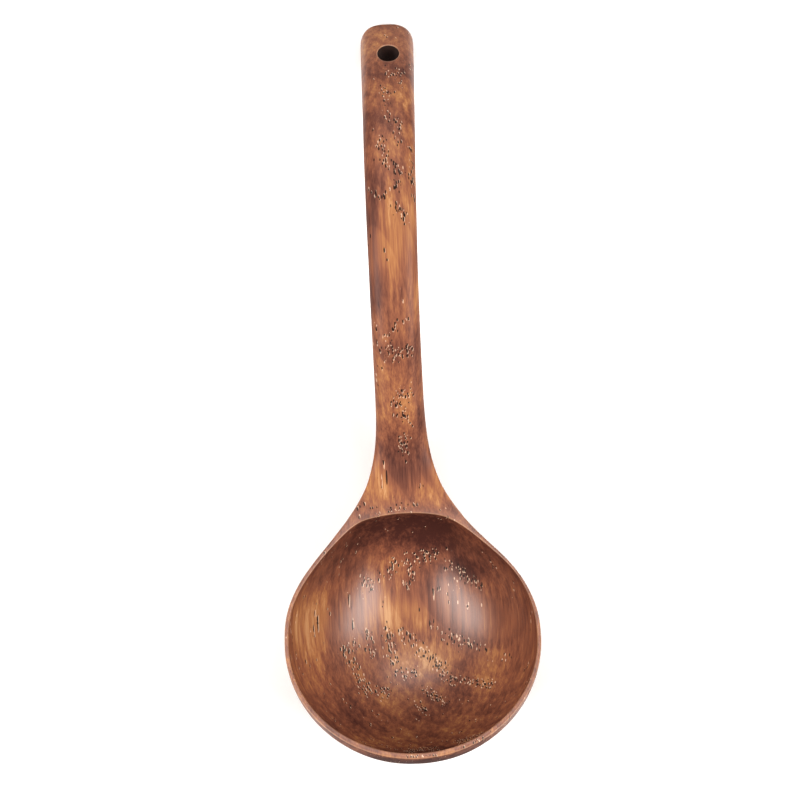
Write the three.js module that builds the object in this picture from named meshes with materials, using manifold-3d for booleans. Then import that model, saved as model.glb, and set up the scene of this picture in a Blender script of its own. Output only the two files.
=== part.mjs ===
// A wooden ladle-spoon carved from one length of wood: a deep round bowl, a flaring neck and an
// arched handle with a drilled hanging hole. Nothing is joined on, so it is one solid.
// Millimetres, +Z up, lying at rest on a table at Z = 0: it stands on the small sanded flat under
// its bowl and on the low end of its handle. The origin is the middle of that flat, and the handle
// runs towards +Y.
//
// The shape is worked out before it is laid down, in the frame of the rim: x to the side, y towards
// the handle, z square to the rim's plane, from the middle of the bowl. A spine runs from the bowl's
// tip to the handle's end, and a section stands square to it at every station.

import * as THREE from 'three';
import { mergeVertices } from 'three/addons/utils/BufferGeometryUtils.js';
import Module from 'manifold-3d';

// Bowl
const rimHalfWidth = 45.2;
const rimTipReach = 42.8;
const bowlDepth = 39;
const rimWidth = 1.4;
const tipRimWidth = 2.1;
const floorThickness = 4;
const outerWallPower = 2.2;
const cavityWallPower = 2.05;

// Shoulders: how far from the middle of the bowl its width has fallen most of the way to the
// handle's, and how sharply it falls. The underside falls, and the cavity ends, a little further on.
const shoulderReach = 44.4;
const shoulderPower = 2.54;
const underPastShoulder = 1.8;
const underPower = 3;
const cavityPastShoulder = 3.5;
const cavityEndPower = 10.8;

// The right shoulder is carved a little fuller than the left: how much, where along the bowl and
// over what length. Its rim is narrower, and the cavity's corner there is rounder.
const rightSwell = 0.8;
const rightSwellStation = 27;
const rightSwellLength = 9;
const rightRimWidth = 0.85;
const rightCavityEndPower = 8.4;

// The arc that closes the cavity at the neck, and how far right of the middle it is highest
const neckArcRadius = 53.6;
const neckArcAside = 0.8;

// Neck: the bend that lifts the handle out of the rim's plane, and the length over which the wood
// on top of the spine fills out
const neckBendDegrees = 41.1;
const neckBendLength = 34;
const topFillLength = 41;
const neckOffset = 1.1;

// Handle, from the cavity's edge to its end, along the spine
const handleLength = 189.4;
const risingLength = 19.7;
const archRadius = 107.4;
const archEase = 16;
const sidewaysBow = 0.8;
const waistHalfWidth = 8.55;
const endHalfWidth = 9.55;
const waistAbove = 4.6;
const waistBelow = 5.2;
const endAbove = 4;
const endBelow = 4.4;
const topPower = 2.6;
const underSidePower = 2.3;
const endCornerLength = 10.4;
const endCornerPower = 2.5;
const endEdgeRadius = 4;

// Hanging hole, drilled a little to the right of the middle
const holeDiameter = 7.8;
const holeFromEnd = 17.9;
const holeAside = 0.4;

// Depth of wood sanded away for the flat that the bowl stands on
const footCut = 0.8;

// How far a cutter reaches past the wood that it cuts
const overshoot = 5;

// Mesh fineness
const pointsAround = 40;
const tipRings = 14;
const bowlRings = 14;
const neckRings = 12;
const handleRings = 24;
const endRings = 10;
const cavityPointsAround = 52;
const cavityRings = 12;
const holeSides = 32;
const spineStep = 0.25;
const halvings = 40;
const steepestLie = 60;

const cavityHalfWidth = rimHalfWidth - rimWidth;
const cavityTipReach = rimTipReach - tipRimWidth;
const cavityNeckReach = shoulderReach + cavityPastShoulder;
const underReach = shoulderReach + underPastShoulder;
const cavityDepth = bowlDepth - floorThickness;
const neckEnd = cavityNeckReach + neckBendLength;
const archStart = neckEnd + risingLength;
const spineEnd = cavityNeckReach + handleLength;
const neckBend = THREE.MathUtils.degToRad(neckBendDegrees);

const wasm = await Module();
wasm.setup();

// 0 before the start, 1 after the end, smooth in between
function ease(along) {
  const share = Math.min(Math.max(along, 0), 1);
  return share * share * (3 - 2 * share);
}

// The spine's slope against the rim's plane, in radians: up through the neck, then down the arch
function slopeAt(station) {
  const into = Math.max((station - archStart) / archEase, 0);
  const eased = into < 1 ? into ** 3 - into ** 4 / 2 : into - 0.5;
  return neckBend * ease((station - cavityNeckReach) / neckBendLength) - (eased * archEase) / archRadius;
}

// The spine itself, walked in small steps from the middle of the bowl to the handle's end
function walkSpine() {
  const places = [new THREE.Vector3()];
  const steps = Math.ceil(spineEnd / spineStep);
  const stepLength = spineEnd / steps;
  for (let i = 0; i < steps; i += 1) {
    const slope = slopeAt((i + 0.5) * stepLength);
    const step = new THREE.Vector3(0, Math.cos(slope), Math.sin(slope)).multiplyScalar(stepLength);
    places.push(places[i].clone().add(step));
  }
  return places;
}

const spine = walkSpine();

function spinePoint(station) {
  if (station <= 0) {
    return new THREE.Vector3(0, station, 0);
  }
  const along = (station / spineEnd) * (spine.length - 1);
  const before = Math.min(Math.floor(along), spine.length - 2);
  return spine[before].clone().lerp(spine[before + 1], along - before);
}

// A hand-cut handle leaves the bowl a little to one side and bows a little on its way
function sidewaysAt(station) {
  const along = THREE.MathUtils.clamp((station - cavityNeckReach) / handleLength, 0, 1);
  return -neckOffset * ease(station / cavityNeckReach) - sidewaysBow * Math.sin(Math.PI * along) ** 2;
}

// From the bowl's full size: a half oval towards its tip, a bell curve down to the handle's size
function bowlToHandle(station, full, tipPower, handleSize, reach, power) {
  if (station < 0) {
    return full * Math.max(1 - (-station / rimTipReach) ** tipPower, 0) ** (1 / tipPower);
  }
  return handleSize + (full - handleSize) * Math.exp(-((station / reach) ** power));
}

function outlineHalfWidth(station) {
  return bowlToHandle(station, rimHalfWidth, 2, waistHalfWidth, shoulderReach, shoulderPower);
}

// How much of a size is left as the handle's end rounds off over the given length
function endRounding(station, length, power) {
  const into = Math.max((station - spineEnd + length) / length, 0);
  return Math.max(1 - into ** power, 0) ** (1 / power);
}

// Half width, height above and depth below the spine, and how square the section's two halves are
function sectionAt(station) {
  const alongHandle = Math.max((station - archStart) / (spineEnd - archStart), 0);
  const pastNeck = ease((station - cavityNeckReach) / topFillLength);
  const widening = (endHalfWidth - waistHalfWidth) * ease(alongHandle);
  const below = bowlToHandle(station, bowlDepth, outerWallPower, waistBelow, underReach, underPower);
  const endEdge = endRounding(station, endEdgeRadius, 2);
  const endCorner = endRounding(station, endCornerLength, endCornerPower);
  return {
    halfWidth: (outlineHalfWidth(station) + widening) * endCorner,
    above: (waistAbove * pastNeck + (endAbove - waistAbove) * alongHandle) * endEdge,
    below: (below + (endBelow - waistBelow) * alongHandle) * endEdge,
    abovePower: THREE.MathUtils.lerp(2, topPower, pastNeck),
    belowPower: THREE.MathUtils.lerp(outerWallPower, underSidePower, pastNeck),
  };
}

function rightSwellAt(station) {
  return rightSwell * Math.exp(-(((station - rightSwellStation) / rightSwellLength) ** 2));
}

// A power of the sine or cosine that keeps its sign, which squares up an oval
function squared(wave, power) {
  return Math.sign(wave) * Math.abs(wave) ** (2 / power);
}

// A point of the outside skin: round the section from the right edge over the top
function skinPoint(station, angle) {
  const section = sectionAt(station);
  const onTop = Math.sin(angle) >= 0;
  const power = onTop ? section.abovePower : section.belowPower;
  const halfWidth = section.halfWidth + (Math.cos(angle) > 0 ? rightSwellAt(station) : 0);
  const side = halfWidth * squared(Math.cos(angle), power) + sidewaysAt(station);
  const height = (onTop ? section.above : section.below) * squared(Math.sin(angle), power);
  const slope = slopeAt(station);
  const outwards = new THREE.Vector3(side, -height * Math.sin(slope), height * Math.cos(slope));
  return spinePoint(station).add(outwards);
}

// Stations from one place up to, but not at, another
function evenStations(from, to, count) {
  return Array.from({ length: count }, (_, i) => from + ((to - from) * i) / count);
}

// The same, closer and closer together towards a rounded end
function crowdedStations(from, to, count) {
  return Array.from({ length: count }, (_, i) => from + (to - from) * Math.sin((Math.PI * i) / (2 * count)));
}

function directions(count) {
  return Array.from({ length: count }, (_, j) => (2 * Math.PI * j) / count);
}

// A closed skin over rings of points, between a first and a last single point. Seen from the first
// point, each ring runs anticlockwise, so that the faces point outwards.
function skinOfRings(firstPoint, rings, lastPoint) {
  const around = rings[0].length;
  const points = [firstPoint, ...rings.flat(), lastPoint];
  const last = points.length - 1;
  const faces = [];
  for (let j = 0; j < around; j += 1) {
    const next = (j + 1) % around;
    faces.push(0, 1 + j, 1 + next);
    for (let i = 0; i < rings.length - 1; i += 1) {
      const near = 1 + i * around;
      const far = near + around;
      faces.push(near + j, far + j, far + next);
      faces.push(near + j, far + next, near + next);
    }
    const end = last - around;
    faces.push(end + j, last, end + next);
  }
  const geometry = new THREE.BufferGeometry().setFromPoints(points);
  geometry.setIndex(faces);
  return geometry;
}

// The whole outside: bowl, neck and handle as one block, with nothing hollowed out yet
function outsideBlock() {
  const stations = [
    ...crowdedStations(0, -rimTipReach, tipRings).reverse(),
    ...evenStations(0, cavityNeckReach, bowlRings).slice(1),
    ...evenStations(cavityNeckReach, neckEnd, neckRings),
    ...evenStations(neckEnd, spineEnd - endCornerLength, handleRings),
    ...crowdedStations(spineEnd - endCornerLength, spineEnd, endRings),
  ];
  const angles = directions(pointsAround);
  const rings = stations.map((station) => angles.map((angle) => skinPoint(station, angle)));
  const tip = new THREE.Vector3(0, -rimTipReach, 0);
  const end = spinePoint(spineEnd).setX(sidewaysAt(spineEnd));
  return skinOfRings(tip, rings, end);
}

// Half width of the cavity on the handle's side, at a station and a distance to the right: the
// outline drawn in by the rim's width, closed by the neck's arc with its corners rounded
function cavityEdgeHalfWidth(station, aside) {
  const onRight = aside > 0;
  const flare = outlineHalfWidth(station) - waistHalfWidth;
  const fall = (flare * shoulderPower * (station / shoulderReach) ** (shoulderPower - 1)) / shoulderReach;
  const pastMiddle = ease(station / rightSwellStation);
  const rim = onRight ? THREE.MathUtils.lerp(rimWidth, rightRimWidth, pastMiddle) : rimWidth;
  const swell = onRight ? rightSwellAt(station) : 0;
  const drawnIn = outlineHalfWidth(station) + swell - rim * Math.hypot(1, fall);
  const arcDrop = (aside - neckArcAside) ** 2 / (2 * neckArcRadius) * (station / cavityNeckReach) ** 2;
  const power = onRight ? rightCavityEndPower : cavityEndPower;
  return drawnIn * Math.max(1 - ((station + arcDrop) / cavityNeckReach) ** power, 0) ** (1 / power);
}

// Distance from the middle of the bowl to a plain oval in one direction
function ovalRadius(angle, reach) {
  return 1 / Math.hypot(Math.cos(angle) / cavityHalfWidth, Math.sin(angle) / reach);
}

// Distance from the middle of the bowl to the cavity's edge, found by halving
function edgeRadius(angle) {
  if (Math.sin(angle) <= 0) {
    return ovalRadius(angle, cavityTipReach);
  }
  let inside = 0;
  let outside = cavityHalfWidth + cavityNeckReach;
  for (let i = 0; i < halvings; i += 1) {
    const radius = (inside + outside) / 2;
    const station = radius * Math.sin(angle);
    const aside = radius * Math.cos(angle);
    if (station < cavityNeckReach && Math.abs(aside) < cavityEdgeHalfWidth(station, aside)) {
      inside = radius;
    } else {
      outside = radius;
    }
  }
  return inside;
}

// The hollow of the bowl. Its edge follows the rim, and lower down it turns into a plain oval.
function cavityBlock() {
  const angles = directions(cavityPointsAround);
  const edges = angles.map(edgeRadius);
  const ringAt = (share, height) => angles.map((angle, j) => {
    const oval = ovalRadius(angle, Math.sin(angle) > 0 ? cavityNeckReach : cavityTipReach);
    const radius = share * THREE.MathUtils.lerp(oval, edges[j], share ** 2);
    const swing = sidewaysAt(Math.max(radius * Math.sin(angle), 0));
    return new THREE.Vector3(radius * Math.cos(angle) + swing, radius * Math.sin(angle), height);
  });
  const rings = evenStations(0, Math.PI / 2, cavityRings).map((turn) => {
    const share = squared(Math.cos(turn), cavityWallPower);
    return ringAt(share, -cavityDepth * squared(Math.sin(turn), cavityWallPower));
  });
  const lid = new THREE.Vector3(0, 0, overshoot);
  return skinOfRings(lid, [ringAt(1, overshoot), ...rings], new THREE.Vector3(0, 0, -cavityDepth));
}

// The drill for the hanging hole, square to the handle where it goes through
function hangingHoleDrill() {
  const station = spineEnd - holeFromEnd;
  const radius = holeDiameter / 2;
  const length = endAbove + endBelow + 2 * overshoot;
  const drill = new THREE.CylinderGeometry(radius, radius, length, holeSides);
  drill.rotateX(Math.PI / 2 + slopeAt(station));
  const middle = spinePoint(station);
  drill.translate(sidewaysAt(station) + holeAside, middle.y, middle.z);
  return drill;
}

function turnedHeight(point, turn) {
  return point.z * Math.cos(turn) - point.y * Math.sin(turn);
}

function lowest(points, turn) {
  return Math.min(...points.map((point) => turnedHeight(point, turn)));
}

// How the spoon lies down: turned about X until the end of the handle is level with the bowl's
// foot, then dropped onto the table with the middle of the foot over the origin
function layDown(block) {
  const places = block.getAttribute('position');
  const points = [];
  for (let i = 0; i < places.count; i += 1) {
    points.push(new THREE.Vector3().fromBufferAttribute(places, i));
  }
  const bowlPoints = points.filter((point) => point.y < cavityNeckReach);
  const handlePoints = points.filter((point) => point.y > cavityNeckReach);
  const footHeight = (turn) => lowest(bowlPoints, turn) + footCut;

  let flatter = 0;
  let steeper = THREE.MathUtils.degToRad(steepestLie);
  for (let i = 0; i < halvings; i += 1) {
    const turn = (flatter + steeper) / 2;
    if (lowest(handlePoints, turn) > footHeight(turn)) {
      flatter = turn;
    } else {
      steeper = turn;
    }
  }
  const lie = (flatter + steeper) / 2;
  const table = footHeight(lie);
  const onFoot = bowlPoints.filter((point) => turnedHeight(point, lie) < table);
  const along = onFoot.map((point) => point.y * Math.cos(lie) + point.z * Math.sin(lie));
  const footMiddle = (Math.min(...along) + Math.max(...along)) / 2;
  const turned = new THREE.Matrix4().makeRotationX(-lie);
  return new THREE.Matrix4().makeTranslation(0, -footMiddle, -table).multiply(turned);
}

// Everything under the table's top, below the bowl
function footTrimmer() {
  const trimmer = new THREE.BoxGeometry(2 * rimHalfWidth, rimHalfWidth + rimTipReach, bowlDepth);
  trimmer.translate(0, 0, -bowlDepth / 2);
  return trimmer;
}

function solidOf(geometry) {
  const bare = geometry.clone();
  bare.deleteAttribute('normal');
  bare.deleteAttribute('uv');
  const merged = mergeVertices(bare, 1e-4);
  return new wasm.Manifold(new wasm.Mesh({
    numProp: 3,
    vertProperties: new Float32Array(merged.getAttribute('position').array),
    triVerts: new Uint32Array(merged.getIndex().array),
  }));
}

function geometryOf(solid) {
  const mesh = solid.getMesh();
  const geometry = new THREE.BufferGeometry();
  geometry.setAttribute('position', new THREE.BufferAttribute(mesh.vertProperties, 3));
  geometry.setIndex(new THREE.BufferAttribute(mesh.triVerts, 1));
  geometry.computeVertexNormals();
  return geometry;
}

function carvedSpoon() {
  const block = outsideBlock();
  const hollowed = solidOf(block).subtract(solidOf(cavityBlock()));
  const drilled = hollowed.subtract(solidOf(hangingHoleDrill()));
  const laidDown = geometryOf(drilled).applyMatrix4(layDown(block));
  const finished = solidOf(laidDown).subtract(solidOf(footTrimmer()));

  const oiledWood = new THREE.MeshStandardMaterial({ color: 0x8f5b38, roughness: 0.38, metalness: 0 });
  const mesh = new THREE.Mesh(geometryOf(finished), oiledWood);
  mesh.name = 'carved_spoon';
  return mesh;
}

const ladle = new THREE.Group();
ladle.add(carvedSpoon());

export default ladle;
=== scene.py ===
import math

import bmesh
import bpy
import numpy as np
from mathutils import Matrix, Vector


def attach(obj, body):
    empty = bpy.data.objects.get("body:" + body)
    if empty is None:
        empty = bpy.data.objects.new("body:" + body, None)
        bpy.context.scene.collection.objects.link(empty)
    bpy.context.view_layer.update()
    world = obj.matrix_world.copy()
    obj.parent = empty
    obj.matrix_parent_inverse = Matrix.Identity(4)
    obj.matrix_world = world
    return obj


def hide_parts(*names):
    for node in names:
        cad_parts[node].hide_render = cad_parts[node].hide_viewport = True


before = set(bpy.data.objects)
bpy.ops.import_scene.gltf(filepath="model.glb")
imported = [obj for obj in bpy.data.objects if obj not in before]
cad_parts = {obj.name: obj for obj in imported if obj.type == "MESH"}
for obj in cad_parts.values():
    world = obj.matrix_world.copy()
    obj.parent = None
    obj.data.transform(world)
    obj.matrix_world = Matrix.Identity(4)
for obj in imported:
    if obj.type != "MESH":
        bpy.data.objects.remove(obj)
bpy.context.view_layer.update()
mm = 0.001
print("frame loaded:", sorted(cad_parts))


class Value:  # one socket, so that sums on sockets read like sums on numbers
    def __init__(self, bench, socket):
        self.bench = bench
        self.socket = socket

    def other(self, output):  # another output of the same node
        return Value(self.bench, self.bench.find(self.socket.node.outputs, output))

    def __add__(self, other):
        return self.bench.maths("ADD", self, other)

    def __radd__(self, other):
        return self.bench.maths("ADD", other, self)

    def __sub__(self, other):
        return self.bench.maths("SUBTRACT", self, other)

    def __rsub__(self, other):
        return self.bench.maths("SUBTRACT", other, self)

    def __mul__(self, other):
        return self.bench.maths("MULTIPLY", self, other)

    def __rmul__(self, other):
        return self.bench.maths("MULTIPLY", other, self)

    def __truediv__(self, other):
        return self.bench.maths("DIVIDE", self, other)

    def __rtruediv__(self, other):
        return self.bench.maths("DIVIDE", other, self)


class Bench:  # a node tree, and the one method that puts any node on it
    def __init__(self, tree):
        self.tree = tree
        tree.nodes.clear()

    def find(self, sockets, key):
        if isinstance(key, int):
            return sockets[key]
        return next(socket for socket in sockets if socket.name == key and socket.enabled)

    def add(self, kind, settings=None, inputs=None, output=0):
        node = self.tree.nodes.new(kind)
        for name, setting in (settings or {}).items():
            if name == "stops":
                self.setStops(node.color_ramp, setting)
            else:
                setattr(node, name, setting)
        for key, given in (inputs or {}).items():
            socket = self.find(node.inputs, key)
            if isinstance(given, Value):
                self.tree.links.new(given.socket, socket)
            else:
                socket.default_value = given
        if len(node.outputs):
            return Value(self, self.find(node.outputs, output))

    def setStops(self, ramp, stops):
        while len(ramp.elements) < len(stops):
            ramp.elements.new(1.0)
        for element, (position, colour) in zip(ramp.elements, stops):
            element.position = position
            element.color = (*colour, 1.0)

    def maths(self, operation, *values):
        return self.add("ShaderNodeMath", {"operation": operation}, dict(enumerate(values)))

    def vector(self, operation, *values, output="Vector"):
        inputs = dict(enumerate(values))
        return self.add("ShaderNodeVectorMath", {"operation": operation}, inputs, output)

    def rise(self, value, low, high):  # 0 below low, 1 above high, smooth in between
        ends = {"Value": value, "From Min": low, "From Max": high}
        return self.add("ShaderNodeMapRange", {"interpolation_type": "SMOOTHSTEP"}, ends)

    def between(self, value, opening, closing):  # 1 between the two, 0 outside them
        return self.rise(value, *opening) * (1 - self.rise(value, *closing))

    def blend(self, factor, first, second):  # of two colours
        ends = {"Factor": factor, "A": first, "B": second}
        return self.add("ShaderNodeMix", {"data_type": "RGBA"}, ends, "Result")

    def noise(self, place, size, detail, roughness, shift):
        # size is how long a wave is along X, Y and Z, in the units of place
        scaled = self.vector("MULTIPLY", place, tuple(1 / length for length in size))
        moved = self.vector("ADD", scaled, shift)
        inputs = {"Vector": moved, "Scale": 1.0, "Detail": detail, "Roughness": roughness}
        return self.add("ShaderNodeTexNoise", {"noise_dimensions": "3D"}, inputs, "Fac")


# the carved body, in millimetres and degrees: the same sizes as the solid's
spoon = {
    "rimHalfWidth": 45.2, "rimTipReach": 42.8, "bowlDepth": 39.0,
    "rimWidth": 1.4, "tipRimWidth": 2.1, "floorThickness": 4.0,
    "outerWallPower": 2.2, "cavityWallPower": 2.05,
    "shoulderReach": 44.4, "shoulderPower": 2.54, "underPastShoulder": 1.8, "underPower": 3.0,
    "cavityPastShoulder": 3.5, "cavityEndPower": 10.8,
    "rightSwell": 0.8, "rightSwellStation": 27.0, "rightSwellLength": 9.0,
    "rightRimWidth": 0.85, "rightCavityEndPower": 8.4,
    "neckArcRadius": 53.6, "neckArcAside": 0.8,
    "neckBend": 41.1, "neckBendLength": 34.0, "topFillLength": 41.0, "neckOffset": 1.1,
    "handleLength": 189.4, "risingLength": 19.7, "archRadius": 107.4, "archEase": 16.0,
    "sidewaysBow": 0.8, "waistHalfWidth": 8.55, "endHalfWidth": 9.55,
    "waistAbove": 4.6, "waistBelow": 5.2, "endAbove": 4.0, "endBelow": 4.4,
    "topPower": 2.6, "underSidePower": 2.3,
    "endCornerLength": 10.4, "endCornerPower": 2.5, "endEdgeRadius": 4.0,
    "holeRadius": 3.9, "holeFromEnd": 17.9, "holeAside": 0.4,
    "footCut": 0.8, "steepestLie": 60.0,
    # fineness of the mesh
    "rimPoints": 160, "aroundHandle": 48, "bowlRings": 40, "cavityRings": 34,
    "neckRows": 23, "shaftRows": 69, "holeRows": 8, "holeColumns": 10, "holeReach": 6.5, "endRows": 26,
    "fineStations": 4001, "rimStations": 3001, "halvings": 45, "beyondBowl": 90.0, "mergeGap": 0.004,
    "stationRounds": 3,
    # the rings close up beside an edge
    "edgeStep": 0.28, "edgeSteps": (0, 1, 2, 3, 4.5), "middleDrops": (0.35, 0.5, 0.65),
    "evenBowlShare": 0.972, "lastBowlShares": (0.979, 0.985, 0.9895, 0.993, 0.9965),
    "firstCavityTurns": (0.008, 0.016, 0.026, 0.042), "evenCavityTurn": 0.07,
    # where the outer wall's lines fan out from, so that none cross where the neck begins
    "fanAim": (0.0, -0.64, -0.77),
    "handleFromCavity": 3.0,  # where the handle's rings take over from the bowl's
}

cavityHalfWidth = spoon["rimHalfWidth"] - spoon["rimWidth"]
cavityTipReach = spoon["rimTipReach"] - spoon["tipRimWidth"]
cavityEnd = spoon["shoulderReach"] + spoon["cavityPastShoulder"]
underReach = spoon["shoulderReach"] + spoon["underPastShoulder"]
neckEnd = cavityEnd + spoon["neckBendLength"]
archStart = neckEnd + spoon["risingLength"]
spineEnd = cavityEnd + spoon["handleLength"]
handleStart = cavityEnd + spoon["handleFromCavity"]
holeStation = spineEnd - spoon["holeFromEnd"]


def ease(share):
    share = np.clip(share, 0, 1)
    return share * share * (3 - 2 * share)


def slopeAt(station):  # of the spine against the rim's plane
    into = np.maximum((station - archStart) / spoon["archEase"], 0)
    eased = np.where(into < 1, into ** 3 - into ** 4 / 2, into - 0.5)
    bend = math.radians(spoon["neckBend"]) * ease((station - cavityEnd) / spoon["neckBendLength"])
    return bend - eased * spoon["archEase"] / spoon["archRadius"]


spineStations = np.linspace(0, spineEnd, spoon["fineStations"])
spineSlopes = slopeAt((spineStations[1:] + spineStations[:-1]) / 2)
spineSteps = np.diff(spineStations)
spineY = np.concatenate([[0], np.cumsum(np.cos(spineSlopes) * spineSteps)])
spineZ = np.concatenate([[0], np.cumsum(np.sin(spineSlopes) * spineSteps)])


def spineAt(station):
    y = np.where(station < 0, station, np.interp(station, spineStations, spineY))
    return y, np.interp(station, spineStations, spineZ)


def sidewaysAt(station):
    along = np.clip((station - cavityEnd) / spoon["handleLength"], 0, 1)
    bow = spoon["sidewaysBow"] * np.sin(np.pi * along) ** 2
    return -spoon["neckOffset"] * ease(station / cavityEnd) - bow


def bowlToHandle(station, full, tipPower, handleSize, reach, power):
    towardsTip = (np.maximum(-station, 0) / spoon["rimTipReach"]) ** tipPower
    tip = full * np.maximum(1 - towardsTip, 0) ** (1 / tipPower)
    flare = handleSize + (full - handleSize) * np.exp(-((np.maximum(station, 0) / reach) ** power))
    return np.where(station < 0, tip, flare)


def outlineHalfWidth(station):
    return bowlToHandle(station, spoon["rimHalfWidth"], 2, spoon["waistHalfWidth"],
                        spoon["shoulderReach"], spoon["shoulderPower"])


def rightSwellAt(station):  # the right shoulder is a little fuller than the left
    away = (station - spoon["rightSwellStation"]) / spoon["rightSwellLength"]
    return spoon["rightSwell"] * np.exp(-away ** 2)


def endRounding(station, length, power):
    into = np.maximum((station - spineEnd + length) / length, 0)
    return np.maximum(1 - into ** power, 0) ** (1 / power)


def sectionAt(station):  # half width, height above, depth below, and how square the two halves are
    alongHandle = np.maximum((station - archStart) / (spineEnd - archStart), 0)
    pastNeck = ease((station - cavityEnd) / spoon["topFillLength"])
    widening = (spoon["endHalfWidth"] - spoon["waistHalfWidth"]) * ease(alongHandle)
    under = bowlToHandle(station, spoon["bowlDepth"], spoon["outerWallPower"], spoon["waistBelow"],
                         underReach, spoon["underPower"])
    endEdge = endRounding(station, spoon["endEdgeRadius"], 2)
    endCorner = endRounding(station, spoon["endCornerLength"], spoon["endCornerPower"])
    halfWidth = (outlineHalfWidth(station) + widening) * endCorner
    thinningAbove = (spoon["endAbove"] - spoon["waistAbove"]) * alongHandle
    thinningBelow = (spoon["endBelow"] - spoon["waistBelow"]) * alongHandle
    above = (spoon["waistAbove"] * pastNeck + thinningAbove) * endEdge
    below = (under + thinningBelow) * endEdge
    abovePower = 2 + (spoon["topPower"] - 2) * pastNeck
    wallPower = spoon["outerWallPower"]
    belowPower = wallPower + (spoon["underSidePower"] - wallPower) * pastNeck
    return halfWidth, above, below, abovePower, belowPower


def placeOnSection(station, aside, height):
    y, z = spineAt(station)
    slope = slopeAt(station)
    x = aside + sidewaysAt(station)
    return np.stack([x, y - height * np.sin(slope), z + height * np.cos(slope)], -1)


def skinRound(station, angle):  # a point of the skin by its angle round the section
    station, angle = np.broadcast_arrays(np.asarray(station, float), np.asarray(angle, float))
    halfWidth, above, below, abovePower, belowPower = sectionAt(station)
    onTop = np.sin(angle) >= 0
    power = 2 / np.where(onTop, abovePower, belowPower)
    halfWidth = halfWidth + np.where(np.cos(angle) > 0, rightSwellAt(station), 0)
    aside = halfWidth * np.sign(np.cos(angle)) * np.abs(np.cos(angle)) ** power
    height = np.where(onTop, above, below) * np.sign(np.sin(angle)) * np.abs(np.sin(angle)) ** power
    return placeOnSection(station, aside, height)


def skinAside(station, aside, onTop):  # a point of the skin by its distance from the spine
    halfWidth, above, below, abovePower, belowPower = sectionAt(station)
    power = abovePower if onTop else belowPower
    share = np.maximum(1 - np.abs(aside / halfWidth) ** power, 0) ** (1 / power)
    return placeOnSection(station, aside, above * share if onTop else -below * share)


def castOut(directions):  # from the middle of the bowl out to its outer wall
    near = np.zeros(directions.shape[:-1])
    far = np.full(directions.shape[:-1], spoon["beyondBowl"])
    for _ in range(spoon["halvings"]):
        reach = (near + far) / 2
        x, y, z = np.moveaxis(directions * reach[..., None], -1, 0)
        station = y
        for _ in range(spoon["stationRounds"]):
            station = y + (z - spineAt(station)[1]) * np.tan(slopeAt(station))
        halfWidth, _, below, _, power = sectionAt(station)
        drop = (z - spineAt(station)[1]) / np.cos(slopeAt(station))
        aside = x - sidewaysAt(station)
        halfWidth = halfWidth + np.where(aside > 0, rightSwellAt(station), 0)
        aside = np.abs(aside) / np.maximum(halfWidth, 1e-6)
        inside = aside ** power + np.abs(drop / np.maximum(below, 1e-6)) ** power < 1
        near = np.where(inside, reach, near)
        far = np.where(inside, far, reach)
    return directions * near[..., None]


def cavityOval(angle):
    reach = np.where(np.sin(angle) > 0, cavityEnd, cavityTipReach)
    return 1 / np.hypot(np.cos(angle) / cavityHalfWidth, np.sin(angle) / reach)


def cavityEdge(angle):  # the cavity's edge: the outline drawn in, closed by a flat arc at the neck
    near = np.zeros_like(angle)
    far = np.full_like(angle, cavityHalfWidth + cavityEnd)
    onRight = np.cos(angle) > 0
    endPower = np.where(onRight, spoon["rightCavityEndPower"], spoon["cavityEndPower"])
    power, shoulder = spoon["shoulderPower"], spoon["shoulderReach"]
    narrowing = spoon["rightRimWidth"] - spoon["rimWidth"]
    for _ in range(spoon["halvings"]):
        reach = (near + far) / 2
        station = np.clip(reach * np.sin(angle), 0, cavityEnd)
        flare = outlineHalfWidth(station) - spoon["waistHalfWidth"]
        fall = flare * power * (station / shoulder) ** (power - 1) / shoulder
        rightRim = spoon["rimWidth"] + narrowing * ease(station / spoon["rightSwellStation"])
        rim = np.where(onRight, rightRim, spoon["rimWidth"])
        swell = np.where(onRight, rightSwellAt(station), 0)
        drawnIn = outlineHalfWidth(station) + swell - rim * np.hypot(1, fall)
        aside = reach * np.cos(angle)
        arc = (aside - spoon["neckArcAside"]) ** 2 / (2 * spoon["neckArcRadius"])
        arcDrop = arc * (station / cavityEnd) ** 2
        closing = np.maximum(1 - ((station + arcDrop) / cavityEnd) ** endPower, 0) ** (1 / endPower)
        inside = (reach * np.sin(angle) < cavityEnd) & (np.abs(aside) < drawnIn * closing)
        near = np.where(inside, reach, near)
        far = np.where(inside, far, reach)
    return np.where(np.sin(angle) > 0, near, cavityOval(angle))


def cavityRing(angles, edges, turn):  # turn is 0 at the edge and a right angle at the bottom
    power = 2 / spoon["cavityWallPower"]
    share = np.cos(turn) ** power
    depth = (spoon["bowlDepth"] - spoon["floorThickness"]) * np.sin(turn) ** power
    radius = share * (cavityOval(angles) + (edges - cavityOval(angles)) * share ** 2)
    x, y = radius * np.cos(angles), radius * np.sin(angles)
    return np.stack([x + sidewaysAt(np.maximum(y, 0)), y, np.full_like(angles, -depth)], -1)


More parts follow.
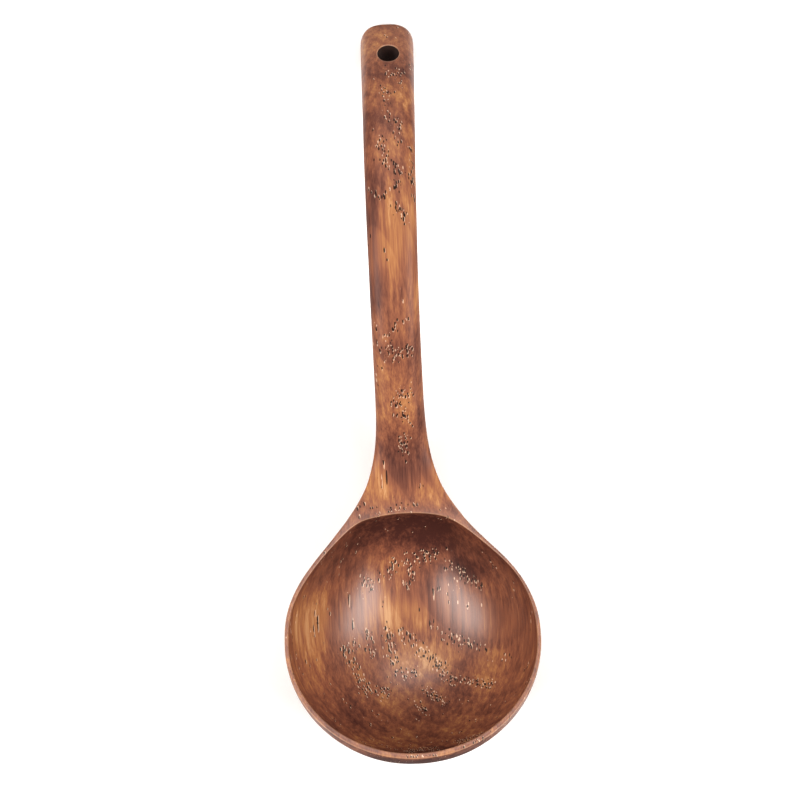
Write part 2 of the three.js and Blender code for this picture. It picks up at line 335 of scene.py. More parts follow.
# the wood, in millimetres; grain runs along Y
wood = {
    "layerLean": (-0.55, -0.275, 0.787),  # square to the growth layers
    "layerSpacing": 6.2,
    "layerShift": 0.20,
    "layerBend": 4.0,
    # in each layer, where the early and the late wood come and go
    "early": ((0.02, 0.16), (0.30, 0.50)),
    "late": ((0.45, 0.90), (0.92, 1.0)),
    # the waves of the figure: how long they are across and along the grain, how fine and how rough
    "bend": {"size": (26.0, 60.0, 26.0), "detail": 2.0, "roughness": 0.5, "shift": (0.0, 0.0, 0.0)},
    "patch": {"size": (15.0, 55.0, 15.0), "detail": 3.0, "roughness": 0.55, "shift": (3.1, 0.4, 7.7)},
    "streak": {"size": (1.6, 70.0, 1.6), "detail": 3.0, "roughness": 0.6, "shift": (0.3, 2.2, 1.1)},
    "fibre": {"size": (0.42, 18.0, 0.42), "detail": 2.0, "roughness": 0.6, "shift": (5.2, 1.2, 0.7)},
    "cluster": {"size": (7.0, 13.0, 7.0), "detail": 1.0, "roughness": 0.5, "shift": (8.3, 4.4, 2.9)},
    # how far the skin faces along the grain to be end grain, and up to be fully oiled
    "endGrain": (0.40, 0.95), "facingUp": (-0.05, 0.55),
    # along the spoon, the stretch that hands hold and rub dull
    "held": ((33.0, 45.0), (162.0, 198.0)),
    # how much each of them darkens or pales the wood
    "tone": 0.52, "patchTone": 0.70, "streakTone": 0.85, "fibreTone": 0.45, "lateTone": 0.09,
    "endGrainAndShadeTone": 0.14,  # cut across, the grain drinks more oil; this darkening also paints shade on the cavity's walls facing the tip and the neck and on the strip under the tip's rim
    # from the darkest tone to the palest
    "colours": (
        (0.08, (0.070, 0.024, 0.019)),
        (0.33, (0.160, 0.059, 0.038)),
        (0.55, (0.270, 0.104, 0.057)),
        (0.76, (0.410, 0.184, 0.077)),
        (0.98, (0.580, 0.325, 0.160)),
    ),
    # each laid over the wood's own colour, and how strongly; some are painted light and shade, as
    # marked
    "poreDark": (0.012, 0.006, 0.005), "poreShow": 0.94,
    # a painted glint beside each pore, fainter where the handle is held
    "poreGlint": (0.820, 0.590, 0.430), "glintShow": 0.75, "glintLostWhereHeld": 0.25,
    # painted shade inside the hanging hole, nearly black
    "holeShade": (0.022, 0.012, 0.011), "holeShadeShow": 0.95,
    # edges rubbed paler by wear, with a painted highlight where the rim's edges catch the light
    "rubbedAndLit": (0.680, 0.440, 0.290), "rubbedAndLitShow": 0.7,
    # how thickly pores stand in the clusters of the early wood, on top and at the sides
    "clusterEdge": (0.42, 0.56), "topCrowd": 0.2, "sideCrowd": 0.3,
    "poreReach": 0.335, "poreFade": 0.06,  # in cells: how wide a pore opens, and its soft edge
    "openFrom": 1.02, "openTo": 1.06, "openedByCrowd": 0.95,
    "glintShift": (-0.22, 0.04, 0.20),  # a painted glint on each pore's far side
    # the cells that hold a pore each, and where they are cut: two layers of short ones, then long slits
    "shortCells": (((0.96, 3.2, 0.96), (0.0, 0.0, 0.0)), ((0.768, 2.56, 0.768), (11.3, 4.7, 6.1))),
    "longCells": (((0.96, 13.0, 0.96), (3.2, 8.9, 1.7)),),
    # the finish: a coat over oiled wood, worn dull at the sides, across the grain and where it is held
    "roughness": 0.36, "fibreRoughness": 0.18, "poreRoughness": 0.3,
    "drilledRoughness": 0.5, "dullRoughness": 0.22, "heldRoughness": 0.10,
    "refraction": 1.42, "coatRoughness": 0.31,
    "coat": 0.62, "coatDrilledOff": 0.6, "coatDulled": 0.9, "coatHeldOff": 0.75,
    "bareRoughness": 0.8, "bareGloss": 0.12,
    "bareAside": 0.5, "bareAcross": 0.85, "bareHeld": 0.5,
    "bumpStrength": 0.5, "bumpDepth": 0.00022,
    "fibreRise": 0.25, "streakRise": 0.2, "poreDepth": 1.6,
    # how far the colour drifts and the bands of pores reach before they fade, and over what share
    "driftCore": 0.25, "driftFade": 0.85, "bandCore": 0.5, "bandFade": 0.6,
    # where the colour drifts: partly the log's own paler and darker spots, partly painted light and
    # shade as marked; middle, reach, and how much paler or darker
    "toneAndPaintedLightSpots": (
        # painted shade on the cavity's wall under the neck
        ((0.0, 33.0, 12.0), (46.0, 14.0, 14.0), -0.385),
        ((2.0, 27.0, 8.0), (12.0, 6.0, 8.0), -0.04),
        ((8.0, 14.0, 5.0), (9.0, 7.0, 8.0), -0.10),
        # painted shade in the cavity's upper corners (this and the next two)
        ((-25.0, 22.0, 14.0), (14.0, 10.0, 14.0), -0.12),
        ((24.0, 22.0, 12.0), (15.0, 10.0, 14.0), -0.22),
        ((21.0, 17.0, 10.0), (13.0, 5.0, 12.0), -0.20),
        ((0.0, 44.0, 23.0), (21.0, 8.0, 8.0), 0.10),
        # paler wood with a painted sheen in the cavity's middle (this and the next)
        ((-3.0, -1.0, 4.0), (14.0, 10.0, 10.0), 0.24),
        ((4.0, -15.0, 6.0), (16.0, 8.0, 10.0), 0.32),
        ((0.0, -28.0, 14.0), (20.0, 8.0, 10.0), 0.04),
        ((-3.0, -41.0, 36.0), (30.0, 8.0, 20.0), 0.20),
        # the cavity's left wall: paler wood and painted light
        ((-37.0, 1.0, 20.0), (10.0, 16.0, 20.0), 0.28),
        ((-37.0, -16.0, 20.0), (9.0, 12.0, 20.0), 0.12),
        ((26.0, -20.0, 18.0), (12.0, 12.0, 14.0), 0.14),
        ((20.0, -38.0, 32.0), (16.0, 10.0, 16.0), 0.14),
        ((-9.0, 3.0, 5.0), (7.0, 9.0, 8.0), 0.14),
        # the rim at the tip: paler wood with a painted highlight
        ((0.0, -45.0, 59.0), (34.0, 5.0, 5.5), 0.32),
        # painted shade on the outer strip under the tip's rim
        ((0.0, -48.5, 44.0), (44.0, 7.0, 15.0), -0.46),
        ((0.0, 57.0, 21.0), (12.0, 10.0, 10.0), -0.14),
        ((-1.0, 77.0, 30.0), (12.0, 15.0, 16.0), 0.19),
        ((-1.0, 97.0, 37.0), (12.0, 10.0, 14.0), -0.12),
        ((-1.0, 175.0, 34.0), (14.0, 12.0, 20.0), -0.08),
        # painted shade on the handle's left flank
        ((-9.0, 114.0, 38.0), (5.0, 14.0, 14.0), -0.14),
        # painted light on the handle's right flank (this and the next)
        ((7.0, 114.0, 38.0), (5.0, 14.0, 14.0), 0.22),
        ((7.0, 149.0, 38.0), (5.0, 24.0, 16.0), 0.26),
        # the arch's crest: paler wood and a painted highlight
        ((-1.0, 138.0, 43.0), (8.0, 22.0, 20.0), 0.32),
        ((0.0, 170.0, 36.0), (14.0, 10.0, 20.0), 0.18),
        ((0.0, 187.0, 26.0), (14.0, 9.0, 20.0), 0.15),
        # painted shade on the handle's left flank
        ((-8.0, 149.0, 38.0), (5.0, 24.0, 16.0), -0.08),
        ((0.0, 211.0, 12.0), (14.0, 12.0, 20.0), 0.12),
        ((0.0, 197.0, 20.0), (14.0, 7.0, 20.0), -0.10),
        # painted highlights on the neck's two bevels (this and the next)
        ((-10.5, 49.0, 21.0), (6.0, 12.0, 10.0), 0.22),
        ((10.5, 49.0, 21.0), (6.0, 12.0, 10.0), 0.18),
        ((8.0, 64.0, 24.0), (4.0, 10.0, 10.0), 0.14),
    ),
    # where the pores crowd together, seen in plan: half width of the band, and the line it follows
    "crowds": (
        (2.6, ((-4.7, -5.0), (-0.3, -8.0), (4.4, -13.5), (9.6, -18.4), (13.4, -22.5))),
        (1.8, ((13.4, -22.5), (19.3, -23.0), (27.2, -24.3))),
        (2.2, ((-9.2, -4.5), (-9.3, -8.0), (-7.4, -15.0), (-4.1, -20.2), (0.2, -19.3))),
        (2.2, ((3.7, -26.0), (9.7, -29.3))),
        (1.6, ((0.0, -30.0), (3.3, -33.2))),
        (2.2, ((-21.5, -8.9), (-24.6, -11.0), (-20.3, -18.3), (-18.3, -24.8), (-9.8, -25.6))),
        (2.0, ((-15.4, -5.0), (-15.0, -12.8))),
        (2.2, ((-16.8, 15.0), (-14.5, 11.5))),
        (2.2, ((-7.6, 15.5), (-5.3, 20.0))),
        (2.6, ((-0.5, 18.5), (2.0, 20.5), (4.4, 22.5), (8.5, 23.0))),
        (2.0, ((1.0, 16.5), (-1.1, 11.5))),
        (2.0, ((14.0, 18.5), (18.6, 15.8), (24.4, 11.5))),
        (1.5, ((16.6, 12.4), (18.7, 13.0))),
        (1.6, ((11.9, -6.6), (17.6, -8.7), (26.1, -12.2))),
        (2.6, ((-3.0, 78.2), (-0.8, 72.5))),
        (2.2, ((0.2, 65.3), (-1.2, 60.4))),
        (1.1, ((-7.0, 39.8), (-1.1, 41.0), (3.1, 41.0))),
        (0.7, ((-4.3, -44.9), (6.8, -44.7))),
        (0.7, ((14.6, -42.9), (23.6, -39.8))),
        (2.4, ((-3.2, 77.4), (-1.2, 81.0), (2.4, 81.0))),
        (2.6, ((-3.5, 96.1), (-1.0, 94.0), (2.2, 96.4))),
        (1.6, ((-5.0, 101.4), (1.5, 107.5))),
        (1.8, ((1.0, 146.6), (3.0, 142.7))),
        (2.0, ((-5.6, 151.3), (0.6, 154.5))),
        (2.2, ((-4.1, 164.6), (-1.7, 162.1), (2.6, 159.0))),
        (2.0, ((-5.1, 171.1), (-4.2, 167.4))),
        (1.6, ((-2.0, 179.0), (2.1, 177.6), (1.6, 170.0))),
        (1.6, ((-3.0, 189.6), (-1.4, 186.2))),
        (1.2, ((-2.1, 194.9), (3.9, 196.7), (3.0, 192.2))),
        (1.0, ((5.6, 168.3), (6.3, 148.0))),
    ),
    # where a pore runs level with the surface and opens as a long slit
    "slits": (
        (1.3, ((-22.3, 9.8), (-22.6, -2.7))),
        (1.5, ((-15.7, 12.0), (-16.0, -4.6))),
        (1.2, ((-1.0, 11.0), (-1.0, 3.4))),
        (1.4, ((7.5, 9.5), (7.2, -2.5))),
        (1.2, ((-34.8, 5.0), (-34.8, -4.1))),
        (1.2, ((-29.9, -1.7), (-29.3, -5.7))),
        (1.4, ((-9.6, -2.0), (-9.4, -5.5))),
        (1.4, ((-8.1, 56.0), (-7.6, 47.5))),
        (1.0, ((-17.6, 41.5), (-17.4, 37.5))),
    ),
}


class Blank:  # points and faces of the body, put together patch by patch
    def __init__(self):
        self.points = []
        self.faces = []
        self.drilled = []

    def put(self, points, drilled=0.0):
        self.points += [tuple(point) for point in points]
        self.drilled += [drilled] * len(points)

    # quads between rings of equal count; the end rings don't take the hole's painted shade
    def loops(self, rings, drilled=0.0):
        first = len(self.points)
        count = len(rings[0])
        for i, ring in enumerate(rings):
            self.put(ring, drilled if 0 < i < len(rings) - 1 else 0.0)
        for i in range(len(rings) - 1):
            for j in range(count):
                a, b = first + i * count + j, first + i * count + (j + 1) % count
                self.faces.append((a, b, b + count, a + count))

    def fan(self, ring, middle):
        first = len(self.points)
        self.put([*ring, middle])
        for j in range(len(ring)):
            self.faces.append((first + j, first + (j + 1) % len(ring), first + len(ring)))


def slerp(start, ends, share):
    angle = np.arccos(np.clip(ends @ start, -1, 1))[:, None]
    return (np.sin((1 - share) * angle) * start + np.sin(share * angle) * ends) / np.sin(angle)


def outlineLoop():  # evenly along the rim's outside, from the handle's right edge round to its left
    corners = skinRound(handleStart, np.array([0.0, np.pi]))
    start, end = (math.atan2(y, x) for x, y, _ in corners)
    angles = np.linspace(start, end - 2 * np.pi, spoon["rimStations"])
    outline = castOut(np.stack([np.cos(angles), np.sin(angles), np.zeros_like(angles)], -1))
    steps = np.linalg.norm(np.diff(outline, axis=0), axis=1)
    lengths = np.concatenate([[0], np.cumsum(steps)])
    wanted = np.linspace(0, lengths[-1], spoon["rimPoints"] + 1)
    loop = np.stack([np.interp(wanted, lengths, outline[:, axis]) for axis in range(3)], -1)
    loop[0], loop[-1] = corners
    return loop


def handleRings():  # where the handle's rings stand, and which rows of faces the hole breaks
    beforeHole = holeStation - spoon["holeReach"]
    pastHole = holeStation + spoon["holeReach"]
    closing = np.sin(np.linspace(0, np.pi / 2, spoon["endRows"] + 1)[:-1])
    stations = np.concatenate([
        np.linspace(handleStart, neckEnd, spoon["neckRows"] + 1)[:-1],
        np.linspace(neckEnd, beforeHole, spoon["shaftRows"] + 1)[:-1],
        np.linspace(beforeHole, pastHole, spoon["holeRows"] + 1)[:-1],
        pastHole + (spineEnd - pastHole) * closing,
    ])
    firstHoleRow = spoon["neckRows"] + spoon["shaftRows"]
    return stations, range(firstHoleRow, firstHoleRow + spoon["holeRows"])


def addHandle(blank):
    around = spoon["aroundHandle"]
    angles = 2 * np.pi * np.arange(around) / around
    stations, holeRows = handleRings()
    rings = [skinRound(np.full(around, station), angles) for station in stations]
    spread = range(around // 4 - spoon["holeColumns"] // 2, around // 4 + spoon["holeColumns"] // 2)
    holeColumns = {True: spread, False: [column + around // 2 for column in spread]}
    first = len(blank.points)
    blank.put([point for ring in rings for point in ring])
    for i in range(len(rings) - 1):
        for j in range(around):
            if i in holeRows and (j in holeColumns[True] or j in holeColumns[False]):
                continue
            a, b = first + i * around + j, first + i * around + (j + 1) % around
            blank.faces.append((a, b, b + around, a + around))
    end = placeOnSection(np.array(spineEnd), np.array(0.0), np.array(0.0))
    blank.fan(rings[-1], end)

    mouths = {}
    for onTop, columns in holeColumns.items():
        rows, low, high = list(holeRows), columns[0], columns[-1] + 1
        corners = [(rows[0], j) for j in range(low, high)]  # of the cells round the hole, in order
        corners += [(i, high) for i in rows]
        corners += [(rows[-1] + 1, j) for j in range(high, low, -1)]
        corners += [(i + 1, low) for i in reversed(rows)]
        if not onTop:  # the underside's columns run the other way, so the two borders are matched up
            corners = [(i, low + high - j) for i, j in corners]
        border = np.array([rings[i][j] for i, j in corners])
        borderStations = np.array([stations[i] for i, _ in corners])
        borderAside = border[:, 0] - sidewaysAt(borderStations)
        if onTop:  # the hole's points stand evenly, each as near as may be to its border point
            across, up = borderAside - spoon["holeAside"], borderStations - holeStation
            straight = np.unwrap(np.arctan2(up, across))
            wholeTurn = math.copysign(2 * np.pi, straight[-1] - straight[0])
            evenly = np.linspace(0, wholeTurn, len(straight) + 1)[:-1]
            bearing = evenly + (straight - evenly).mean()
        edgeStations = holeStation + spoon["holeRadius"] * np.sin(bearing)
        edgeAside = spoon["holeAside"] + spoon["holeRadius"] * np.cos(bearing)
        gap = np.hypot(borderStations - edgeStations, borderAside - edgeAside)
        collar = []
        for away in spoon["edgeSteps"]:
            share = away * spoon["edgeStep"] / gap
            station = edgeStations + (borderStations - edgeStations) * share
            aside = edgeAside + (borderAside - edgeAside) * share
            collar.append(skinAside(station, aside, onTop))
        blank.loops([border] + collar[::-1])
        mouths[onTop] = collar[0]
    depth = np.linalg.norm(mouths[True] - mouths[False], axis=1).mean()
    step = spoon["edgeStep"] / depth
    near = [away * step for away in spoon["edgeSteps"]]
    drops = near + [*spoon["middleDrops"]] + [1 - drop for drop in reversed(near)]
    blank.loops([mouths[True] + (mouths[False] - mouths[True]) * drop for drop in drops], drilled=1.0)


def addBowl(blank):
    around = spoon["aroundHandle"]
    outline = outlineLoop()
    ring = skinRound(np.full(around, handleStart), 2 * np.pi * np.arange(around) / around)
    underBorder = np.concatenate([outline, ring[around // 2 + 1:]])
    topBorder = np.concatenate([outline, ring[1:around // 2][::-1]])

    # the outside, fanned out from below the tip
    downward = np.array(spoon["fanAim"])
    downward /= np.linalg.norm(downward)
    outward = underBorder / np.linalg.norm(underBorder, axis=1)[:, None]
    evenShares = np.linspace(0, spoon["evenBowlShare"], spoon["bowlRings"])[1:]
    shares = np.concatenate([evenShares, spoon["lastBowlShares"]])
    under = [castOut(slerp(downward, outward, share)) for share in shares]
    blank.loops(under + [underBorder])
    blank.fan(under[0], castOut(downward[None])[0])

    # the rim's top, from the cavity's edge out to the outline
    angles = np.arctan2(topBorder[:, 1], topBorder[:, 0])
    edges = cavityEdge(angles)
    inner = cavityRing(angles, edges, 0.0)
    width = np.linalg.norm(topBorder - inner, axis=1)[:, None]
    step = np.minimum(spoon["edgeStep"], width / 5)  # closer still where the rim is thin
    rim = [inner + (topBorder - inner) * share for share in (
        step / width, 2 * step / width, 0.5, 1 - 2 * step / width, 1 - step / width)]
    blank.loops([inner] + rim + [topBorder])

    # the cavity, ring by ring down to its bottom
    evenTurns = np.linspace(spoon["evenCavityTurn"], np.pi / 2, spoon["cavityRings"])[:-1]
    turns = np.concatenate([spoon["firstCavityTurns"], evenTurns])
    wall = [cavityRing(angles, edges, turn) for turn in turns]
    blank.loops([inner] + wall)
    blank.fan(wall[-1], (0, 0, spoon["floorThickness"] - spoon["bowlDepth"]))


def turned(points, turn):  # distance along the table and height above it
    along = points[:, 1] * math.cos(turn) + points[:, 2] * math.sin(turn)
    return along, points[:, 2] * math.cos(turn) - points[:, 1] * math.sin(turn)


def layDown(points):  # turned until the handle's end is level with the foot, then set on the table
    stations = np.linspace(-spoon["rimTipReach"], cavityEnd, spoon["fineStations"])
    keel = skinRound(stations, 1.5 * np.pi)
    handle = points[points[:, 1] > cavityEnd]
    flatter, steeper = 0.0, math.radians(spoon["steepestLie"])
    for _ in range(spoon["halvings"]):
        turn = (flatter + steeper) / 2
        table = turned(keel, turn)[1].min() + spoon["footCut"]
        if turned(handle, turn)[1].min() > table:
            flatter = turn
        else:
            steeper = turn
    keelAlong, keelHeights = turned(keel, turn)
    foot = keelAlong[keelHeights < table]
    print("laid down at", round(math.degrees(turn), 2), "degrees,",
          "foot", round(foot.max() - foot.min(), 1), "mm long")
    along, heights = turned(points, turn)
    y = along - (foot.min() + foot.max()) / 2
    return np.stack([points[:, 0], y, np.maximum(heights - table, 0)], -1)


def toneAndPaintedLightAt(points):  # how much paler or darker each point is painted: the log's own spots, and painted light and shade
    drift = np.zeros(len(points))
    for middle, reach, strength in wood["toneAndPaintedLightSpots"]:
        away = np.linalg.norm((points - middle) / reach, axis=1)
        drift += strength * (1 - ease((away - wood["driftCore"]) / wood["driftFade"]))
    return drift


def crowdAt(points, bands):  # how thickly the pores stand at each point
    crowd = np.zeros(len(points))
    for width, line in bands:
        for start, end in zip(np.array(line), np.array(line[1:])):
            along = end - start
            share = np.clip((points[:, :2] - start) @ along / (along @ along), 0, 1)
            away = np.linalg.norm(points[:, :2] - start - share[:, None] * along, axis=1)
            fade = ease((away / width - wood["bandCore"]) / wood["bandFade"])
            crowd = np.maximum(crowd, 1 - fade)
    return crowd


def makeBlank():  # the closed mesh, laid down, with what the wood needs to know at each point
    blank = Blank()
    addBowl(blank)
    addHandle(blank)
    points = layDown(np.array(blank.points))
    mesh = bpy.data.meshes.new("carvedBody")
    mesh.from_pydata((points * mm).tolist(), [], blank.faces)
    marks = {
        "drilled": blank.drilled,
        "drift": toneAndPaintedLightAt(points),
        "crowd": crowdAt(points, wood["crowds"]),
        "slit": crowdAt(points, wood["slits"]),
    }
    for name, values in marks.items():
        mesh.attributes.new(name, "FLOAT", "POINT").data.foreach_set("value", values)
    work = bmesh.new()
    work.from_mesh(mesh)
    bmesh.ops.remove_doubles(work, verts=work.verts, dist=spoon["mergeGap"] * mm)
    bmesh.ops.recalc_face_normals(work, faces=work.faces)
    loose = sum(1 for edge in work.edges if not edge.is_manifold)
    print("blank:", len(work.verts), "points,", len(work.faces), "faces,", loose, "open edges")
    work.to_mesh(mesh)
    work.free()
    body = bpy.data.objects.new("carvedBody", mesh)
    bpy.context.scene.collection.objects.link(body)
    return body


# what sanding and scraping by hand leave on the blank, in metres
handwork = {
    "Sanding passes": 5,
    "Marking passes": 2,
    "Blunt edge": 0.26,  # an edge blunter than this, in radians, is left as it is
    "Sharp edge": 0.55,
    "Bite": 1.6,
    # along the spoon, the neck's tight corners, where sanding doesn't reach
    "Corners begin": 0.034,
    "Corners are tight": 0.038,
    "Corners open": 0.046,
    "Corners end": 0.052,
    "Scraped waver": 0.00016,
    "Waver across": 0.011,
    "Waver along": 0.034,
    "Foot clearance": 0.004,
    "Seed": 11.0,
}


def makeHandworkTree():
    tree = bpy.data.node_groups.new("handwork", "GeometryNodeTree")
    bench = Bench(tree)
    tree.interface.new_socket(name="Blank", in_out="INPUT", socket_type="NodeSocketGeometry")
    for name, size in handwork.items():
        kind = "NodeSocketInt" if isinstance(size, int) else "NodeSocketFloat"
        tree.interface.new_socket(name=name, in_out="INPUT", socket_type=kind)
    tree.interface.new_socket(name="Finish", in_out="INPUT", socket_type="NodeSocketMaterial")
    tree.interface.new_socket(name="Body", in_out="OUTPUT", socket_type="NodeSocketGeometry")
    blank = bench.add("NodeGroupInput", output="Blank")

    # sanding rounds the outer edges over, and leaves word of where it did
    angle = bench.add("GeometryNodeInputMeshEdgeAngle", output="Signed Angle")
    sharp = bench.rise(angle, blank.other("Blunt edge"), blank.other("Sharp edge"))
    sanded = bench.add("GeometryNodeBlurAttribute", {"data_type": "FLOAT"},
                       {"Value": sharp, "Iterations": blank.other("Marking passes")})
    marked = bench.add("GeometryNodeStoreNamedAttribute", {"data_type": "FLOAT", "domain": "POINT"},
                       {"Geometry": blank, "Name": "sandedEdge", "Value": sanded})
    place = bench.add("GeometryNodeInputPosition")
    known = bench.add("GeometryNodeInputNamedAttribute", {"data_type": "FLOAT"},
                      {"Name": "sandedEdge"}, "Attribute")
    along = bench.add("ShaderNodeSeparateXYZ", None, {"Vector": place}, "Y")
    reached = 1 - bench.between(
        along, (blank.other("Corners begin"), blank.other("Corners are tight")),
        (blank.other("Corners open"), blank.other("Corners end")))
    rounded = bench.add("GeometryNodeBlurAttribute", {"data_type": "FLOAT_VECTOR"}, {
        "Value": place, "Iterations": blank.other("Sanding passes"),
        "Weight": bench.maths("MINIMUM", known * blank.other("Bite"), 1.0) * reached})
    softened = bench.add("GeometryNodeSetPosition", None, {"Geometry": marked, "Position": rounded})

    # the scraper's long shallow strokes along the grain, kept off the foot
    strokes = bench.add("ShaderNodeCombineXYZ", None, {
        "X": 1.0 / blank.other("Waver across"), "Y": 1.0 / blank.other("Waver along"),
        "Z": 1.0 / blank.other("Waver across")})
    wave = bench.add("ShaderNodeTexNoise", {"noise_dimensions": "4D"}, {
        "Vector": bench.vector("MULTIPLY", place, strokes), "W": blank.other("Seed"),
        "Scale": 1.0, "Detail": 1.0}, "Fac")
    clear = bench.rise(along.other("Z"), 0.0, blank.other("Foot clearance"))
    lift = (wave - 0.5) * 2.0 * blank.other("Scraped waver") * clear
    normal = bench.add("GeometryNodeInputNormal")
    offset = bench.add("ShaderNodeVectorMath", {"operation": "SCALE"},
                       {"Vector": normal, "Scale": lift})
    scraped = bench.add("GeometryNodeSetPosition", None, {"Geometry": softened, "Offset": offset})
    faced = bench.add("GeometryNodeStoreNamedAttribute",
                      {"data_type": "FLOAT_VECTOR", "domain": "POINT"},
                      {"Geometry": scraped, "Name": "facing", "Value": normal})
    smooth = bench.add("GeometryNodeSetShadeSmooth", None, {"Geometry": faced})
    real = bench.add("GeometryNodeRealizeInstances", None, {"Geometry": smooth})
    finished = bench.add("GeometryNodeSetMaterial", None,
                         {"Geometry": real, "Material": blank.other("Finish")})
    bench.add("NodeGroupOutput", None, {"Body": finished})
    return tree


def workByHand(body, finish):
    tree = makeHandworkTree()
    modifier = body.modifiers.new("handwork", "NODES")
    modifier.node_group = tree
    sockets = {item.name: item.identifier for item in tree.interface.items_tree}
    for name, size in handwork.items():
        modifier[sockets[name]] = size
    modifier[sockets["Finish"]] = finish
    seen = body.evaluated_get(bpy.context.evaluated_depsgraph_get())
    worked = bpy.data.meshes.new_from_object(seen)
    body.modifiers.remove(modifier)
    body.data = worked
    print("handwork done:", len(worked.vertices), "points")


def openTubes(bench, cell, crowd):  # long thin tubes, one to a cell, and open only where pores crowd
    tube = bench.add("ShaderNodeTexVoronoi", {"voronoi_dimensions": "3D", "feature": "F1"},
                     {"Vector": cell, "Scale": 1.0, "Randomness": 1.0}, "Distance")
    pick = bench.add("ShaderNodeSeparateColor", None, {"Color": tube.other("Color")}, "Red")
    sooner = wood["openedByCrowd"] * crowd
    opened = bench.rise(pick, wood["openFrom"] - sooner, wood["openTo"] - sooner)
    reach = wood["poreReach"]
    return (1 - bench.rise(tube, reach - wood["poreFade"], reach)) * opened


def makeWood():
    material = bpy.data.materials.new("oiledWood")
    material.use_nodes = True
    bench = Bench(material.node_tree)
    metres = bench.add("ShaderNodeTexCoord", output="Object")
    place = bench.vector("MULTIPLY", metres, (1 / mm, 1 / mm, 1 / mm))

    # growth layers: nearly flat sheets through the log, bent a little by its knots
    bend = (bench.noise(place, **wood["bend"]) - 0.5) * wood["layerBend"]
    depth = bench.vector("DOT_PRODUCT", place, wood["layerLean"], output="Value")
    layer = bench.maths("FRACT", (depth + bend) / wood["layerSpacing"] + wood["layerShift"])
    early = bench.between(layer, *wood["early"])
    late = bench.between(layer, *wood["late"])

    # what the mesh knows at each point
    drift, crowding, slitting, sanded, drilled = (
        bench.add("ShaderNodeAttribute", {"attribute_name": name}, None, "Fac")
        for name in ("drift", "crowd", "slit", "sandedEdge", "drilled"))
    normal = bench.add("ShaderNodeAttribute", {"attribute_name": "facing"}, None, "Vector")
    facing = bench.add("ShaderNodeSeparateXYZ", None, {"Vector": normal}, "Y")
    acrossGrain = bench.rise(bench.maths("ABSOLUTE", facing), *wood["endGrain"])
    aside = 1 - bench.rise(facing.other("Z"), *wood["facingUp"])  # sides and underside, less oiled
    along = bench.add("ShaderNodeSeparateXYZ", None, {"Vector": place}, "Y")
    held = bench.between(along, *wood["held"])

    patch, streak, fibre = (bench.noise(place, **wood[name]) for name in ("patch", "streak", "fibre"))
    tone = wood["tone"] + (patch - 0.5) * wood["patchTone"] + (streak - 0.5) * wood["streakTone"]
    # the log's own paler and darker spots join the tone here, and with them painted light and shade
    tone = tone + (fibre - 0.5) * wood["fibreTone"] - late * wood["lateTone"] + drift
    # darker where the skin faces along the grain: end grain, and painted shade on the walls facing the
    # tip and the neck
    tone = tone - acrossGrain * wood["endGrainAndShadeTone"]
    colour = bench.add("ShaderNodeValToRGB", {"stops": wood["colours"]}, {"Fac": tone}, "Color")

    # open pores: long thin tubes along the grain, in clusters along the early wood
    cluster = bench.rise(bench.noise(place, **wood["cluster"]), *wood["clusterEdge"])
    scattered = early * cluster * (wood["topCrowd"] + aside * wood["sideCrowd"])
    crowd = bench.maths("MAXIMUM", scattered, crowding)
    cells = [(*cell, crowd) for cell in wood["shortCells"]]
    cells += [(*cell, slitting) for cell in wood["longCells"]]
    pores, glints = 0.0, 0.0
    for size, shift, spread in cells:
        cell = bench.vector("ADD", bench.vector("DIVIDE", place, size), shift)
        hollow = openTubes(bench, cell, spread)
        # a painted glint: the same pores shifted a little, so a pale crescent sits beside each
        beside = openTubes(bench, bench.vector("ADD", cell, wood["glintShift"]), spread)
        pores = bench.maths("MAXIMUM", pores, hollow)
        glints = bench.maths("MAXIMUM", glints, beside * (1 - hollow))
    glintShow = wood["glintShow"] - held * wood["glintLostWhereHeld"]

    # over the wood come painted glints beside the pores and the pores, edges rubbed paler under a
    # painted highlight, and painted shade in the hole
    for share, paint in ((glints * (1 - pores) * glintShow, "poreGlint"),
                         (pores * wood["poreShow"], "poreDark"),
                         # sanded edges: rubbed paler, and a painted highlight on them
                         (sanded * wood["rubbedAndLitShow"], "rubbedAndLit"),
                         # painted shade on the hole's wall
                         (drilled * wood["holeShadeShow"], "holeShade")):
        colour = bench.blend(share, colour, (*wood[paint], 1.0))

    dull = bench.maths("MAXIMUM", acrossGrain, aside)
    height = (fibre - 0.5) * wood["fibreRise"] + (streak - 0.5) * wood["streakRise"]
    bump = bench.add("ShaderNodeBump", None, {
        "Strength": wood["bumpStrength"], "Distance": wood["bumpDepth"],
        "Height": height - pores * wood["poreDepth"]}, "Normal")
    roughness = wood["roughness"] + (fibre - 0.5) * wood["fibreRoughness"]
    roughness = roughness + pores * wood["poreRoughness"] + drilled * wood["drilledRoughness"]
    roughness = roughness + dull * wood["dullRoughness"] + held * wood["heldRoughness"]
    coat = (wood["coat"] - drilled * wood["coatDrilledOff"]) * (1 - dull * wood["coatDulled"])
    oiled = bench.add("ShaderNodeBsdfPrincipled", None, {
        "Base Color": colour, "Roughness": roughness, "Normal": bump, "IOR": wood["refraction"],
        "Coat Weight": coat * (1 - held * wood["coatHeldOff"]),
        "Coat Roughness": wood["coatRoughness"]}, "BSDF")
    bare = bench.add("ShaderNodeBsdfPrincipled", None, {
        "Base Color": colour, "Roughness": wood["bareRoughness"],
        "Specular IOR Level": wood["bareGloss"], "Normal": bump}, "BSDF")
    bareness = bench.maths("MAXIMUM", aside * wood["bareAside"], acrossGrain * wood["bareAcross"])
    bareness = bench.maths("MAXIMUM", bareness, held * wood["bareHeld"])
    mixed = bench.add("ShaderNodeMixShader", None, {0: bareness, 1: oiled, 2: bare})
    bench.add("ShaderNodeOutputMaterial", None, {"Surface": mixed})
    print("wood ready:", len(material.node_tree.nodes), "nodes")
    return material


oiledWood = makeWood()
body = makeBlank()
workByHand(body, oiledWood)
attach(body, "root")
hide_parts("carved_spoon")


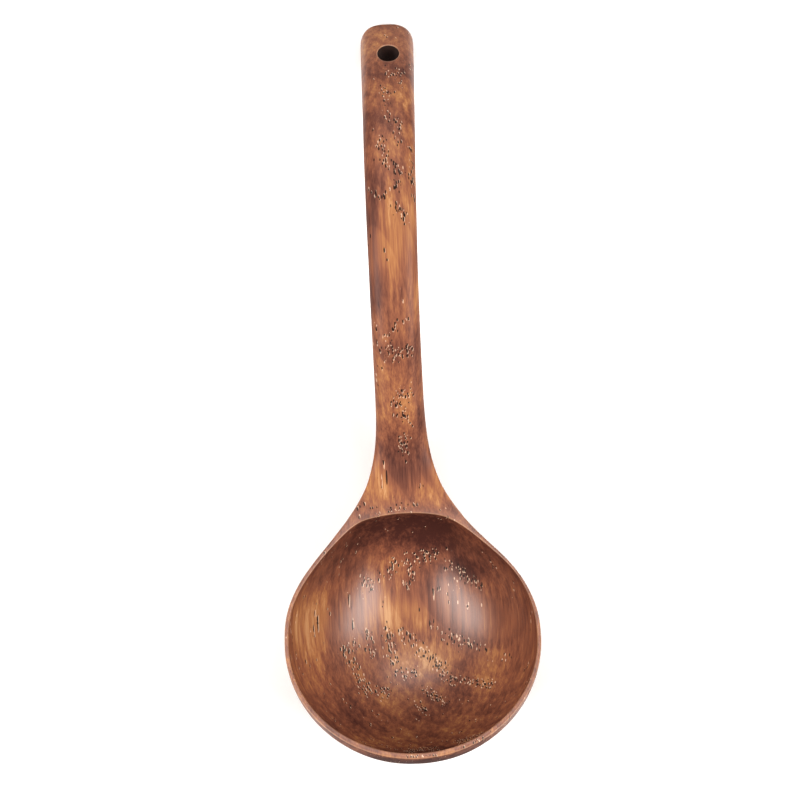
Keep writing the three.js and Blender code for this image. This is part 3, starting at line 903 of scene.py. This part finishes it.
# the studio: a pale table, a bright room and soft lights, in metres and degrees
studio = {
    "table": 3.0,
    "tableColour": (0.93, 0.93, 0.93), "tableRoughness": 0.9, "tableGloss": 0.1, "tableGlow": 0.10,
    "room": 0.16,
    # of each light: its place, width and height, power, and colour
    "lights": {
        "right": ((0.80, -0.11, 0.95), (0.8, 0.6), 11.8, (1.0, 0.96, 0.92)),
        "left": ((-0.82, -0.13, 0.93), (0.8, 0.6), 11.4, (1.0, 0.96, 0.92)),
        "above": ((0.0, 0.15, 1.6), (1.3, 1.0), 0.7, (1.0, 1.0, 1.0)),
        "behind": ((0.0, 0.95, 1.15), (1.0, 0.5), 5.2, (1.0, 1.0, 1.0)),
    },
    "aim": (0.0, 0.05, 0.02),
    "cameraPlace": (-0.001283, 0.079009, 1.2),
    "cameraRoll": -2.2,
    "lens": 148.25, "film": 36.0,  # in millimetres
}


def makeStudio():
    half = studio["table"] / 2
    table = bpy.data.meshes.new("table")
    corners = [(-half, -half, 0), (half, -half, 0), (half, half, 0), (-half, half, 0)]
    table.from_pydata(corners, [], [(0, 1, 2, 3)])
    floor = bpy.data.objects.new("table", table)
    bpy.context.scene.collection.objects.link(floor)
    paint = bpy.data.materials.new("palePaint")
    paint.use_nodes = True
    bench = Bench(paint.node_tree)
    shader = bench.add("ShaderNodeBsdfPrincipled", None, {
        "Base Color": (*studio["tableColour"], 1.0), "Roughness": studio["tableRoughness"],
        "Specular IOR Level": studio["tableGloss"],
        "Emission Color": (1, 1, 1, 1), "Emission Strength": studio["tableGlow"]}, "BSDF")
    bench.add("ShaderNodeOutputMaterial", None, {"Surface": shader})
    table.materials.append(paint)

    room = bpy.data.worlds.new("room")
    room.use_nodes = True
    bench = Bench(room.node_tree)
    light = bench.add("ShaderNodeBackground", None,
                      {"Color": (1, 1, 1, 1), "Strength": studio["room"]})
    bench.add("ShaderNodeOutputWorld", None, {"Surface": light})
    bpy.context.scene.world = room

    for name, (place, size, power, colour) in studio["lights"].items():
        data = bpy.data.lights.new(name, "AREA")
        data.shape = "RECTANGLE"
        data.size, data.size_y = size
        data.energy = power
        data.color = colour
        holder = bpy.data.objects.new(name, data)
        holder.location = place
        towards = Vector(studio["aim"]) - holder.location
        holder.rotation_euler = towards.to_track_quat("-Z", "Y").to_euler()
        bpy.context.scene.collection.objects.link(holder)

    lens = bpy.data.cameras.new("camera")
    lens.lens = studio["lens"]
    lens.sensor_width = studio["film"]
    camera = bpy.data.objects.new("camera", lens)
    camera.location = studio["cameraPlace"]
    camera.rotation_euler = (0, 0, math.radians(studio["cameraRoll"]))
    bpy.context.scene.collection.objects.link(camera)
    bpy.context.scene.camera = camera
    bpy.context.scene.view_settings.view_transform = "Standard"
    bpy.context.scene.view_settings.look = "Medium High Contrast"


makeStudio()
print("studio ready")
